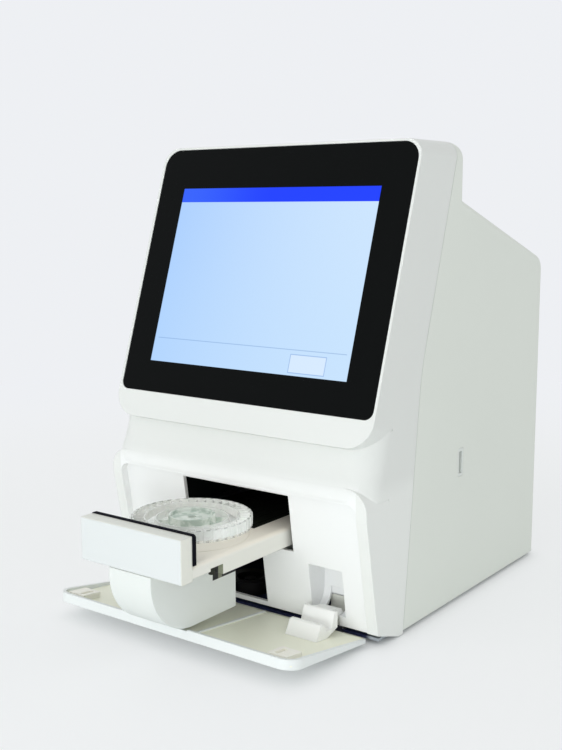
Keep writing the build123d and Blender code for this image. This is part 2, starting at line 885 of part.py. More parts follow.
def main_board():
    """The control board with its chips, connectors and a heat sink."""
    high = board_low + 1.6
    board = Pos(0, board_y, board_low + 0.8) * Box(136, 104, 1.6)
    board = fillet(board.edges().filter_by(Axis.Z), 3)
    parts = [
        (-24, 10, 26, 26, 3.0),
        (16, 14, 16, 22, 2.2),
        (44, 6, 14, 14, 2.2),
        (-54, 34, 12, 34, 6.5),
        (58, 40, 10, 44, 8.0),
        (0, 76, 60, 8, 7.0),
        (-46, 70, 18, 10, 9.0),
        (22, 46, 30, 14, 2.6),
    ]
    for x, y, wide, deep, tall in parts:
        board += block(x - wide / 2, x + wide / 2, y - deep / 2, y + deep / 2, high - 0.2, high + tall)
    for index in range(7):
        x = -35 + 3.6 * index
        board += block(x - 0.8, x + 0.8, -2, 22, high + 2.8, high + 12)
    for x, y in ((52, 74), (60, 74), (-60, 2), (-60, 12)):
        board += post(x, y, high - 0.2, high + 11, 3.5)
    return board


def board_standoffs():
    """Four pillars between the chamber's roof and the control board, as one group."""
    group = []
    for x in (-44, 44):
        for y in (-10, 78):
            group.append(post(x, y, cover_top, board_low, 3.0))
    return Compound(group)


def drive_motor():
    """The gearmotor under the deck, with its bore for the pinion's shaft."""
    top = deck_top - deck_thick
    shape = post(pinion_x, pinion_y, top - drive_motor_long, top, drive_motor_radius)
    shape += post(pinion_x, pinion_y, top - drive_motor_long - 6, top - drive_motor_long, 8.0)
    for angle in (45, 135, 225, 315):
        reach = drive_motor_radius + 1.6
        x = pinion_x + reach * math.cos(math.radians(angle))
        y = pinion_y + reach * math.sin(math.radians(angle))
        shape += post(x, y, top - 3, top, 3.0)
    return shape - post(pinion_x, pinion_y, top - 14, top + 1, 1.5 + spindle_clearance)


def drive_pinion():
    """The drive pinion with its shaft; involute teeth, with a little backlash."""
    pitch = module_size * pinion_teeth / 2
    base = pitch * math.cos(math.radians(20))
    tip = pitch + 0.9 * module_size
    root = pitch - 1.2 * module_size
    half_angle = math.pi / (2 * pinion_teeth) - tooth_back / pitch
    involute = math.tan(math.radians(20)) - math.radians(20)
    flank = []
    for index in range(5):
        radius = max(base, root) + (tip - max(base, root)) * index / 4
        pressure = math.acos(min(1.0, base / radius))
        spread = half_angle + involute - (math.tan(pressure) - pressure)
        flank.append((radius, spread))
    points = []
    for tooth in range(pinion_teeth):
        middle = 2 * math.pi * tooth / pinion_teeth
        outline = [(root, -flank[0][1])]
        outline += [(radius, -spread) for radius, spread in flank]
        outline += [(radius, spread) for radius, spread in reversed(flank)]
        outline += [(root, flank[0][1])]
        for radius, angle in outline:
            points.append((radius * math.cos(middle + angle), radius * math.sin(middle + angle)))
    low = deck_top + 0.2
    high = tray_bottom - 0.3
    wheel = extrude(make_face(Polyline(*points, close=True)), amount=high - low)
    shaft = post(0, 0, deck_top - deck_thick - 12, low, 1.5)
    return Pos(pinion_x, pinion_y, 0) * (Pos(0, 0, low) * wheel + shaft)


def drawer_rack():
    """The rack under the tray, with its teeth toward the pinion."""
    pitch = math.pi * module_size
    line = pinion_x + module_size * pinion_teeth / 2
    first = -158.0
    last = -38.0
    lean = math.tan(math.radians(20))
    thick = pitch / 4 - tooth_back
    points = [(line + rack_width, first), (line + 1.2, first)]
    start = math.ceil((first + 3 - pinion_y) / pitch) + 0.5
    place = pinion_y + start * pitch
    while place < last - 2:
        for reach, across in ((1.2, -1), (-0.9, -1), (-0.9, 1), (1.2, 1)):
            offset = thick + reach * lean
            points.append((line + reach * module_size, place + across * offset))
        place += pitch
    points += [(line + 1.2, last), (line + rack_width, last)]
    low = tray_bottom - rack_thick
    return Pos(0, 0, low) * extrude(make_face(Polyline(*points, close=True)), amount=rack_thick)


def drawer_tray():
    """The tray that carries the disc, hollow underneath."""
    points = [
        (panel_front + panel_thick, tray_front_bottom),
        (panel_front + panel_thick, tray_top),
        (tray_rear, tray_top),
        (tray_rear, tray_bottom),
        (tray_step, tray_bottom),
        (tray_step, tray_bottom + 6.3),
        (skirt_back, tray_bottom + 6.3),
        (skirt_back, tray_front_bottom),
    ]
    shape = side_polygon(points, -drawer_half, drawer_half)
    long_edges = shape.edges().filter_by(Axis.Y).group_by(Axis.Z)[-1]
    shape = fillet(long_edges, tray_soft)
    inner = drawer_half - 2.6
    web = tray_top - 2.6
    line = pinion_x + module_size * pinion_teeth / 2
    shape -= block(-inner, inner, tray_step + 2.6, tray_rear - 2.6, tray_bottom - 5, web)
    shape -= block(-inner, inner, panel_front + panel_thick + 2.6, skirt_back - 2.0, tray_front_bottom - 3, web)
    shape += block(line + 1.2, line + rack_width, tray_step, tray_rear, tray_bottom, web + 0.5)
    shape += block(-line - rack_width, -line - 1.2, tray_step, tray_rear, tray_bottom, web + 0.5)
    for y in (-140, -100, -66):
        shape += block(-inner - 0.5, inner + 0.5, y - 1, y + 1, tray_bottom + 3, web + 0.5)
    shape += block(-liner_half - 2, liner_half + 2, liner_front - 2, liner_rear + 2, web - 1.2, web + 0.5)
    shape -= block(-liner_half, liner_half, liner_front, liner_rear, web, tray_top + 1)
    shape -= block(-liner_half + 3, liner_half - 3, liner_front + 3, liner_rear - 3, web - 2, web + 1)
    shape += block(-nose_half, nose_half, tray_step, nose_back, tray_bottom, web + 0.5)
    shape -= post(0, disc_y, tray_bottom - 5, web, spindle_motor_radius + 0.1)
    shape -= post(0, disc_y, web - 1, tray_top + 1, spindle_radius + 1.0)
    ring = post(0, disc_y, tray_top, tray_top + 0.2, disc_radius - 1) - post(0, disc_y, tray_top - 1, tray_top + 1, disc_radius - 2.5)
    return shape - Pos(0, 0, -0.2) * ring


def tray_liner():
    """The black liner let into the tray's top behind the disc."""
    web = tray_top - 2.6
    gap = 0.1
    shape = block(-liner_half + gap, liner_half - gap, liner_front + gap, liner_rear - gap, web, web + 1.2)
    for index in range(5):
        x = -16 + 8 * index
        shape += block(x - 0.4, x + 0.4, liner_front + 4, liner_rear - 4, web + 1.1, web + 1.6)
    return shape


def drawer_front():
    """The drawer's front panel."""
    shape = block(-drawer_half, drawer_half, panel_front, panel_front + panel_thick, panel_low, panel_high)
    shape = fillet(shape.faces().sort_by(Axis.Y)[0].edges(), 1.2)
    hollow = block(
        -drawer_half + 2.6, drawer_half - 2.6,
        panel_front + 2.6, panel_front + panel_thick + 1,
        tray_top + 1.4, panel_high - 2.6,
    )
    for x in (-24, -8, 8, 24):
        hollow -= block(x - 0.8, x + 0.8, panel_front, panel_front + 20, 0, 200)
    return shape - hollow


def light_seal():
    """The black seal behind the front panel that keeps light out of the chamber."""
    start = panel_front + panel_thick
    reach = drawer_half + 0.8
    shape = block(-reach, reach, start, start + seal_thick, tray_top, panel_high + 0.7)
    return fillet(shape.edges().filter_by(Axis.Y).group_by(Axis.Z)[-1], 2.0)


def nose_profile(shrink):
    """Side outline of the curved nose under the drawer's front."""
    radius = nose_radius - shrink
    middle = (panel_front + nose_radius, nose_low + nose_radius)
    start = (middle[0] - radius, middle[1])
    turn = (middle[0] - radius * math.cos(math.pi / 4), middle[1] - radius * math.sin(math.pi / 4))
    end = (middle[0], middle[1] - radius)
    arc = ThreePointArc(start, turn, end)
    if shrink > 0:
        top = tray_bottom + 20
        rest = Polyline(end, (nose_back - shrink, end[1]), (nose_back - shrink, top), (start[0], top), start)
        return make_face(arc + rest)
    rest = Polyline(
        end,
        (nose_back, end[1]),
        (nose_back, tray_bottom),
        (skirt_back, tray_bottom),
        (skirt_back, tray_front_bottom),
        (panel_front + panel_thick, tray_front_bottom),
        (panel_front + panel_thick, panel_low),
        (start[0], panel_low),
        start,
    )
    return make_face(arc + rest)


def drawer_nose():
    """The hollow nose that pushes the flap down as the drawer comes out."""
    shape = Plane.YZ.offset(-nose_half) * extrude(nose_profile(0), amount=2 * nose_half)
    inner = nose_half - nose_wall
    room = Plane.YZ.offset(-inner) * extrude(nose_profile(nose_wall), amount=2 * inner)
    shape -= room
    return shape


def spindle_motor():
    """The motor that turns the disc, hung under the tray inside the nose."""
    top = tray_top - 2.6
    shape = post(0, disc_y, top - spindle_motor_long, top, spindle_motor_radius)
    shape = chamfer(shape.edges().group_by(Axis.Z)[0], 1.0)
    shape += post(0, disc_y, top - spindle_motor_long - 3, top - spindle_motor_long + 0.1, 5.0)
    return shape - post(0, disc_y, top - 18, top + 1, spindle_radius + spindle_clearance)


def latch_posts():
    """Two brass posts in the tray's notch, as one group."""
    group = []
    for x in (-36.4, 36.4):
        peg = post(x, (skirt_back + tray_step) / 2, tray_bottom + 0.8, tray_bottom + 6.3, 1.9)
        group.append(peg)
    return Compound(group)


def disc_hub():
    """The turntable with its spindle."""
    low = tray_top + 0.3
    shape = post(0, disc_y, low, disc_low, hub_radius)
    shape = chamfer(shape.edges().group_by(Axis.Z)[-1], 0.6)
    shape += post(0, disc_y, tray_top - 16, disc_low + 5.5, spindle_radius)
    shape += post(0, disc_y, low, disc_low + 3.0, 5.0)
    for angle in (60, 180, 300):
        x = 8.0 * math.cos(math.radians(angle))
        y = disc_y + 8.0 * math.sin(math.radians(angle))
        shape += post(x, y, disc_low - 1, disc_low + 1.6, 1.0)
    return shape


def reagent_disc():
    """The clear test disc with its ring of wells."""
    top = disc_low + disc_thick
    shape = post(0, disc_y, disc_low, top, disc_radius - 0.8)
    shape -= post(0, disc_y, disc_low + 2.6, top + 1, disc_radius - 8.0)
    shape += post(0, disc_y, disc_low, top - 1.2, 24.0) - post(0, disc_y, disc_low - 1, top, 22.6)
    shape += post(0, disc_y, disc_low, top, 15.0)
    shape -= post(0, disc_y, disc_low + 7.0, top + 1, 13.4)
    shape -= post(0, disc_y, disc_low - 1, disc_low + 3.1, 5.05)
    shape -= post(0, disc_y, disc_low - 1, top + 1, spindle_radius + 0.05)
    for angle in (60, 180, 300):
        x = 8.0 * math.cos(math.radians(angle))
        y = disc_y + 8.0 * math.sin(math.radians(angle))
        shape -= post(x, y, disc_low - 1, disc_low + 1.7, 1.05)
    teeth = Sketch()
    wells = Sketch()
    for index in range(disc_wells):
        turn = Rot(0, 0, 360 / disc_wells * index)
        teeth += turn * Pos(disc_radius - 1.5, 0) * Rectangle(3.0, 4.4)
        wells += turn * Pos(disc_radius - 4.6, 0) * Rectangle(4.4, 3.8)
    middle = Pos(0, disc_y, 0)
    shape += middle * Pos(0, 0, disc_low + 2) * extrude(teeth, amount=disc_thick - 2)
    return shape - middle * Pos(0, 0, disc_low + 1.8) * extrude(wells, amount=disc_thick)


def power_supply():
    """The open power supply on the floor."""
    grow = supply_wide / 36
    board = Pos(supply_x, supply_y, base_top + 5.8) * Box(supply_wide, 88, 1.6)
    for x in (-11 * grow, 14 * grow):
        for y in (-38, 38):
            board += post(supply_x + x, supply_y + y, base_top, base_top + 5.2, 2.5)
    low = base_top + 6.4
    parts = [(-2, -6, 26, 24, 24), (-12, 0, 3, 66, 30), (14, -8, 3, 50, 26), (2, 34, 22, 12, 14), (0, -36, 26, 9, 11)]
    for x, y, wide, deep, tall in parts:
        board += block(
            supply_x + (x - wide / 2) * grow, supply_x + (x + wide / 2) * grow,
            supply_y + y - deep / 2, supply_y + y + deep / 2,
            low, low + tall,
        )
    for x, y, radius, tall in ((-4, 18, 8, 28), (6, -24, 5, 20), (-6, -24, 5, 20)):
        board += post(supply_x + x * grow, supply_y + y, low, low + tall, radius * grow)
    return board


def fan_frame():
    """The fan's square frame against the back wall, with its hub and struts."""
    start = rear_y - wall - fan_deep
    plane = Plane(origin=(fan_x, start, fan_z), x_dir=(1, 0, 0), z_dir=(0, -1, 0))
    frame = plane * extrude(RectangleRounded(fan_size, fan_size, 4), amount=-fan_deep)
    frame -= plane * extrude(Circle(fan_bore), amount=-fan_deep)
    hub = Circle(fan_hub) + Rectangle(2 * fan_bore + 2, 3) + Rectangle(3, 2 * fan_bore + 2)
    frame += plane * extrude(hub, amount=-2)
    for x in (-1, 1):
        for z in (-1, 1):
            hole = Pos(x * fan_screw_pitch / 2, z * fan_screw_pitch / 2) * Circle(screw_radius)
            frame -= plane * extrude(hole, amount=-fan_deep)
    frame -= plane * extrude(Circle(1.5 + 0.05), amount=-5)
    return frame


def fan_rotor():
    """The fan's hub and its twisted blades."""
    start = rear_y - wall - fan_deep + 2 + fan_clearance
    deep = fan_deep - 2 - 2 * fan_clearance
    plane = Plane(origin=(fan_x, start, fan_z), x_dir=(1, 0, 0), z_dir=(0, -1, 0))
    rotor = plane * extrude(Circle(fan_hub), amount=-deep)
    reach = fan_bore - fan_clearance
    for index in range(fan_blades):
        turn = Rot(0, 0, 360 / fan_blades * index)
        blade = Pos(0, 0, -deep / 2) * turn * Pos((fan_hub + reach) / 2 - 1.0, 0, 0)
        blade = blade * Rot(32, 0, 0) * Box(reach - fan_hub, 14.0, 1.2)
        rotor += plane * blade
    rotor -= plane * Pos(0, 0, 1.5) * extrude(Circle(fan_hub - 1.4), amount=-deep + 0.1)
    rotor += plane * Pos(0, 0, 1.5 + fan_clearance) * extrude(Circle(1.5), amount=-deep - 1.5 - fan_clearance + 0.5)
    return rotor


def power_inlet():
    """The mains inlet with its three blades."""
    plane = Plane(origin=(inlet_x, rear_y, inlet_z), x_dir=(-1, 0, 0), z_dir=(0, 1, 0))
    shape = plane * extrude(RectangleRounded(inlet_width + 4, inlet_height + 4, 3), amount=2)
    shape += plane * extrude(RectangleRounded(inlet_width, inlet_height, 1.9), amount=-22)
    opening = Rectangle(24, 16.4)
    opening = chamfer(opening.vertices().sort_by(Axis.Y)[-2:], 4.5)
    shape -= plane * Pos(0, 0, -15) * extrude(opening, amount=30)
    for x, y in ((-7, -1.5), (0, 2.5), (7, -1.5)):
        shape += plane * Pos(x, y, -16) * extrude(Rectangle(2.0, 4.0), amount=13)
    for x in (-7, 0, 7):
        shape += plane * Pos(x, -2, -28) * extrude(Rectangle(6.3, 0.8), amount=7)
    return shape


def switch_frame():
    """The surround of the power switch."""
    plane = Plane(origin=(inlet_x, rear_y, switch_z), x_dir=(-1, 0, 0), z_dir=(0, 1, 0))
    shape = plane * extrude(RectangleRounded(switch_width + 2.4, switch_height + 2.4, 1.5), amount=1.5)
    shape += plane * extrude(RectangleRounded(switch_width, switch_height, 0.7), amount=-14)
    shape -= plane * Pos(0, 0, -9) * extrude(Rectangle(switch_width - 2.6, 10.6), amount=30)
    bore = Pos(inlet_x, switch_pivot, switch_z) * Rot(0, 90, 0) * Cylinder(1.25, switch_width - 0.6)
    shape -= bore
    for x in (-5, 5):
        shape += plane * Pos(x, 0, -21) * extrude(Rectangle(0.8, 6.3), amount=7.2)
    return shape


def power_switch():
    """The rocker of the power switch, pressed at its lower half."""
    inner = switch_width - 2.6 - 0.4
    round_body = Rot(0, 90, 0) * Cylinder(5.2, inner)
    keep = block(-inner, inner, -4.0, 12.0, -9, 9)
    body = round_body & keep
    points = [(2.2, 0), (2.2 + 9 * math.tan(math.radians(switch_swing)), 9), (12, 9), (12, -9)]
    points.append((2.2 + 9 * math.tan(math.radians(switch_swing)), -9))
    body -= side_polygon(points, -inner, inner)
    body += Rot(0, 90, 0) * Cylinder(1.2, switch_width - 0.8)
    return Pos(inlet_x, switch_pivot, switch_z) * Rot(-switch_swing, 0, 0) * body


def io_board():
    """A small board with two serial sockets and a network socket at the back wall."""
    board = block(-32, 42, 84, rear_y - wall - 0.4, socket_z - 12, socket_z - 10.4)
    for x in (-26, 36):
        board += post(x, 90, base_top, socket_z - 12, 2.5)
    for x in usb_places:
        body = block(x - usb_width / 2, x + usb_width / 2, rear_y - 16, rear_y + 0.3, socket_z - 2.8, socket_z + 2.8)
        body -= block(x - 6.1, x + 6.1, rear_y - 12, rear_y + 2, socket_z - 2.2, socket_z + 2.2)
        body += block(x - 5, x + 5, rear_y - 12.5, rear_y - 2, socket_z - 0.1, socket_z + 1.2)
        body += block(x - 5, x + 5, rear_y - 16, rear_y - 6, socket_z - 10.5, socket_z - 2.7)
        board += body
    high = socket_z + lan_height / 2
    low = socket_z - lan_height / 2
    body = block(lan_x - 8, lan_x + 8, rear_y - 18, rear_y + 0.3, low, high)
    body -= block(lan_x - 6, lan_x + 6, rear_y - 14, rear_y + 2, low + 1.4, high - 4)
    body -= block(lan_x - 3.2, lan_x + 3.2, rear_y - 14, rear_y + 2, low + 1.4, high - 1.6)
    body += block(lan_x - 7, lan_x + 7, rear_y - 18, rear_y - 4, socket_z - 10.5, low + 0.1)
    return board + body


def side_port():
    """The card socket in the right-hand side wall."""
    plane = Plane(origin=(half, port_y, port_z), x_dir=(0, 1, 0), z_dir=(1, 0, 0))
    wide = port_width - 2 * panel_gap
    tall = port_height - 2 * panel_gap
    shape = plane * extrude(RectangleRounded(wide, tall, 1.45), amount=-wall)
    shape += plane * Pos(0, 0, -17) * extrude(Rectangle(wide + 3, tall + 3), amount=14)
    shape -= plane * Pos(0, 0, -14) * extrude(RectangleRounded(4.4, 15.4, 0.6), amount=20)
    shape += plane * Pos(-1.2, 0, -15) * extrude(Rectangle(1.0, 13.0), amount=11)
    return shape


def speaker():
    """The small loudspeaker on the floor behind the lower opening."""
    shape = post(speaker_x, speaker_y, base_top, speaker_top, speaker_radius)
    shape -= Pos(speaker_x, speaker_y, speaker_top) * Cone(5.0, 13.5, 7.0)
    shape += post(speaker_x, speaker_y, speaker_top - 3.6, speaker_top - 1.2, 4.0)
    return shape


parts = {
    "front_shell": front_shell(),
    "rear_shell": rear_shell(),
    "screen_glass": screen_glass(),
    "lcd_panel": lcd_panel(),
    "display_bracket": display_bracket(),
    "display_board": display_board(),
    "base_plate": base_plate(),
    "feet": feet(),
    "chassis": chassis(),
    "rail_left": rail(-1),
    "rail_right": rail(1),
    "chamber_cover": chamber_cover(),
    "deck_screws": deck_screws(),
    "optics_block": optics_block(),
    "main_board": main_board(),
    "board_standoffs": board_standoffs(),
    "drive_motor": drive_motor(),
    "drive_pinion": drive_pinion(),
    "power_supply": power_supply(),
    "fan_frame": fan_frame(),
    "fan_rotor": fan_rotor(),
    "power_inlet": power_inlet(),
    "switch_frame": switch_frame(),
    "power_switch": power_switch(),
    "io_board": io_board(),
    "side_port": side_port(),
    "speaker": speaker(),
    "rear_screws": rear_screws(),
    "hinge_bracket_left": hinge_bracket(-1),
    "hinge_bracket_right": hinge_bracket(1),
    "hinge_pin_left": hinge_pin(-1),
    "hinge_pin_right": hinge_pin(1),
    "flap_door": flap_door(),
    "hinge_arm_left": hinge_arm(-1),
    "hinge_arm_right": hinge_arm(1),
    "latch_tab_left": latch_tab(-1),
    "latch_tab_right": latch_tab(1),
    "drawer_tray": drawer_tray(),
    "drawer_front": drawer_front(),
    "drawer_nose": drawer_nose(),
    "light_seal": light_seal(),
    "tray_liner": tray_liner(),
    "spindle_motor": spindle_motor(),
    "drawer_rack": drawer_rack(),
    "latch_posts": latch_posts(),
    "disc_hub": disc_hub(),
    "reagent_disc": reagent_disc(),
}

os.makedirs("parts", exist_ok=True)
for name, solid in parts.items():
    placed = Pos(0, -origin_y, 0) * solid
    placed.label = name
    export_step(placed, os.path.join("parts", name + ".step"))
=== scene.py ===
import math

import bmesh
import bpy
from mathutils import Matrix, Vector


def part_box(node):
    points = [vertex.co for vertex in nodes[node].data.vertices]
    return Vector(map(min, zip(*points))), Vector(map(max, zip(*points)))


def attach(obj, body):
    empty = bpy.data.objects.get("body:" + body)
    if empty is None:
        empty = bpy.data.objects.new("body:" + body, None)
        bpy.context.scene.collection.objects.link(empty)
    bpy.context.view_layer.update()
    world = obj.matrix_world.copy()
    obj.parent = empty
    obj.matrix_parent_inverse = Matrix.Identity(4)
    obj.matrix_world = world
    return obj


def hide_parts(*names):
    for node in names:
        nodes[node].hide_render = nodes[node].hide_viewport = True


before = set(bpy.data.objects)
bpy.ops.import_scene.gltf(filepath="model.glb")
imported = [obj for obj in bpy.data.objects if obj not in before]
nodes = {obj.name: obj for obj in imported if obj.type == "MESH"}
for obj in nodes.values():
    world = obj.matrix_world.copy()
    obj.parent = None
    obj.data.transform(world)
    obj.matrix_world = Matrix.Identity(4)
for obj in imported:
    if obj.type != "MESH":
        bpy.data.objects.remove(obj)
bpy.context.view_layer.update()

# Lengths are in metres, in the frame's axes
# A pair of numbers is the start and the end of a soft edge or of a band

# The screen's lean, the lower middle of its lit picture, and the picture's half width and height
SCREEN_LEAN = math.radians(18.1)
SCREEN_FOOT = Vector((0.0, -0.063, 0.1655))
SCREEN_UP = Vector((0.0, math.sin(SCREEN_LEAN), math.cos(SCREEN_LEAN)))
SCREEN_OUT = Vector((0.0, -math.cos(SCREEN_LEAN), math.sin(SCREEN_LEAN)))
PICTURE_HALF = 0.081
PICTURE_HIGH = 0.1236

# The open flap's slope, and a point on its inner face beside the hinge
FLAP_SLOPE = math.radians(6.5)
FLAP_START = (0.0, -0.05688, 0.00466)

# Half the flap's width, the drawer panel's face, and the tray's half width and top
FLAP_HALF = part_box("flap_door")[1].x
PANEL_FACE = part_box("drawer_front")[0].y
TRAY_HALF, _, TRAY_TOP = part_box("drawer_tray")[1]

# The middle of the test disc at its underside, just above its solid's, and the height of its rim
disc_low, disc_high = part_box("reagent_disc")
DISC = (disc_low + disc_high) / 2
DISC.z = disc_low.z + 0.0013
DISC_TOP = disc_high.z
DISC_CELLS = 40

# The backdrop, and the bench near the analyzer as the camera sees it, brighter as a painted pool of light
BACKDROP = (0.855, 0.871, 0.9)
BENCH_GLOW = (0.925, 0.935, 0.95)


class Value:
    """A node socket that can be used in sums."""

    def __init__(self, look, socket):
        self.look = look
        self.socket = socket

    def __add__(self, other):
        return self.look.math("ADD", self, other)

    def __radd__(self, other):
        return self.look.math("ADD", other, self)

    def __sub__(self, other):
        return self.look.math("SUBTRACT", self, other)

    def __rsub__(self, other):
        return self.look.math("SUBTRACT", other, self)

    def __mul__(self, other):
        return self.look.math("MULTIPLY", self, other)

    def __rmul__(self, other):
        return self.look.math("MULTIPLY", other, self)

    def __gt__(self, other):
        return self.look.math("GREATER_THAN", self, other)

    def __lt__(self, other):
        return self.look.math("LESS_THAN", self, other)


class Look:
    """A procedural material built from nodes."""

    def __init__(self, name, color=(0.8, 0.8, 0.8), rough=0.5, metal=0.0, **fixed):
        self.material = bpy.data.materials.new(name)
        self.material.use_nodes = True
        self.tree = self.material.node_tree
        self.tree.nodes.clear()
        self.output = self.tree.nodes.new("ShaderNodeOutputMaterial")
        self.shader = self.tree.nodes.new("ShaderNodeBsdfPrincipled")
        self.surface(Value(self, self.shader.outputs["BSDF"]))
        self.set("Base Color", (*color, 1.0))
        self.set("Roughness", rough)
        self.set("Metallic", metal)
        for key, value in fixed.items():
            self.set(key.replace("_", " "), value)
        self._place = None

    def surface(self, shader):
        self.tree.links.new(shader.socket, self.output.inputs["Surface"])

    def fill(self, target, value):
        """Link a value to a socket, or set a number or colour on it."""
        if isinstance(value, Value):
            self.tree.links.new(value.socket, target)
        else:
            target.default_value = value

    def set(self, socket, value):
        self.fill(self.shader.inputs[socket], value)

    def node(self, kind, settings=None, inputs=None, out=0):
        made = self.tree.nodes.new(kind)
        for key, value in (settings or {}).items():
            setattr(made, key, value)
        for key, value in (inputs or {}).items():
            self.fill(made.inputs[key], value)
        return Value(self, made.outputs[out])

    def math(self, operation, a, b=0.0):
        return self.node("ShaderNodeMath", {"operation": operation}, {0: a, 1: b})

    def absolute(self, value):
        return self.math("ABSOLUTE", value)

    def place(self):
        """Object coordinates and their three parts."""
        if self._place is None:
            vector = self.node("ShaderNodeTexCoord", out="Object")
            parts = self.tree.nodes.new("ShaderNodeSeparateXYZ")
            self.fill(parts.inputs[0], vector)
            self._place = (vector, *[Value(self, parts.outputs[i]) for i in range(3)])
        return self._place

    def dot(self, direction, start):
        """Distance along a direction from a starting point."""
        _, x, y, z = self.place()
        shift = sum(a * b for a, b in zip(direction, start))
        return x * direction[0] + y * direction[1] + z * direction[2] - shift

    def noise(self, scale, detail=2.0, vector=None):
        inputs = {"Vector": vector or self.place()[0], "Scale": scale, "Detail": detail}
        return self.node("ShaderNodeTexNoise", {}, inputs)

    def mix(self, factor, a, b):
        """A colour between two colours."""
        a, b = [(*color, 1.0) if isinstance(color, tuple) else color for color in (a, b)]
        return self.node("ShaderNodeMix", {"data_type": "RGBA"}, {0: factor, 6: a, 7: b}, out=2)

    def step(self, value, low, high):
        """Zero below low, one above high, smooth between."""
        inputs = {"Value": value, "From Min": low, "From Max": high}
        return self.node("ShaderNodeMapRange", {"interpolation_type": "SMOOTHSTEP"}, inputs)

    def band(self, value, low, high, soft=0.00008):
        """One between low and high, zero outside."""
        past_low = self.step(value, low - soft, low + soft)
        past_high = self.step(value, high - soft, high + soft)
        return past_low * (1.0 - past_high)

    def grain(self, scale, strength, distance, radius=None):
        """A fine moulded grain, on softened edges when a radius is given."""
        inputs = {"Strength": strength, "Distance": distance, "Height": self.noise(scale)}
        if radius:
            inputs["Normal"] = self.node("ShaderNodeBevel", {"samples": 6}, {"Radius": radius})
        self.set("Normal", self.node("ShaderNodeBump", {}, inputs))

    def satin(self, radius=0.0006):
        """The satin grain that all the light mouldings share."""
        self.grain(1400.0, 0.06, 0.00004, radius)

    def vary(self, color, scale, amount):
        """A faint unevenness in a colour."""
        light = tuple(min(1.0, c * (1 + amount)) for c in color)
        dark = tuple(c * (1 - amount) for c in color)
        self.set("Base Color", self.mix(self.noise(scale, 3.0), dark, light))


def srgb(*parts):
    """Linear colour from 8-bit screen values."""
    parts = [part / 255.0 for part in parts]
    return tuple(p / 12.92 if p <= 0.04045 else ((p + 0.055) / 1.055) ** 2.4 for p in parts)


# Colours that several pieces share
SIDE_WHITE = srgb(233, 237, 230)
SATIN_WHITE = srgb(241, 243, 240)
CREAM = srgb(240, 239, 231)
ARM_WHITE = srgb(254, 255, 251)
TAB_WHITE = srgb(253, 251, 241)
# Painted shade for dark gaps and openings
PAINTED_GAP_SHADE = srgb(7, 8, 12)


def plastic(name, color, rough, shine=0.5):
    look = Look(name, color, rough, Specular_IOR_Level=shine)
    look.vary(color, 9.0, 0.02)
    look.satin()
    return look.material


def metal(name, color, rough, along="X", metallic=1.0):
    """Sheet or turned metal, brushed along one axis."""
    look = Look(name, color, rough, metallic)
    stretch = {"X": (20, 900, 900), "Y": (900, 20, 900), "Z": (900, 900, 20)}[along]
    moved = look.node("ShaderNodeMapping", {}, {"Vector": look.place()[0], "Scale": stretch})
    streak = look.noise(1.0, vector=moved)
    look.set("Roughness", streak * 0.18 + (rough - 0.09))
    return look.material


def rubber(name, color, rough):
    look = Look(name, color, rough, Specular_IOR_Level=0.15)
    look.vary(color, 60.0, 0.15)
    look.grain(2500.0, 0.25, 0.00008)
    return look.material


def board_look(name, base, chip):
    """A circuit board with dark chips on it."""
    look = Look(name, base, 0.4)
    look.set("Base Color", look.mix(look.step(look.noise(160.0, 1.0), 0.48, 0.52), base, chip))
    look.grain(500.0, 0.2, 0.0001)
    return look.material


def screen_look():
    """The touch glass: a black printed border round a lit picture."""
    black = srgb(11, 13, 13)
    pen = srgb(110, 150, 215)
    header_low = 0.1137
    line, line_half = (0.0162, 0.0168), 0.078
    button_sides, button_ends, outline = (0.036, 0.064), (0.0015, 0.0138), 0.0006
    look = Look("screen_glass_look", black, 0.2, Specular_IOR_Level=0.05)
    x = look.place()[1]
    rise = look.dot(SCREEN_UP, SCREEN_FOOT)
    front = look.dot(SCREEN_OUT, SCREEN_FOOT) > -0.0006
    inside = look.band(x, -PICTURE_HALF, PICTURE_HALF) * look.band(rise, 0.0, PICTURE_HIGH) * front
    across = look.math("POWER", look.step(x, -PICTURE_HALF * 1.3, PICTURE_HALF * 1.3), 0.6)
    field = look.mix(across, srgb(168, 205, 254), srgb(206, 230, 254))
    field = look.mix(look.step(rise, PICTURE_HIGH, 0.0) * 0.3, field, srgb(190, 224, 254))
    header = look.band(rise, header_low, PICTURE_HIGH + 0.001)
    blue = look.mix(look.step(x, -PICTURE_HALF, 0.0), srgb(56, 100, 253), srgb(34, 67, 255))
    field = look.mix(header, field, blue)
    rule = look.band(rise, *line) * look.band(x, -line_half, line_half)
    field = look.mix(rule * 0.45, field, srgb(110, 150, 205))
    whole = look.band(x, *button_sides) * look.band(rise, *button_ends)
    sides = (button_sides[0] + outline, button_sides[1] - outline)
    ends = (button_ends[0] + outline, button_ends[1] - outline)
    face = look.band(x, *sides) * look.band(rise, *ends)
    field = look.mix((whole - face) * 0.5, field, pen)
    field = look.mix(face * 0.6, field, srgb(226, 240, 255))
    look.set("Base Color", look.mix(inside, black, (0.002, 0.002, 0.003)))
    look.set("Emission Color", look.mix(inside, (0.0, 0.0, 0.0), field))
    look.set("Emission Strength", 1.0)
    return look.material


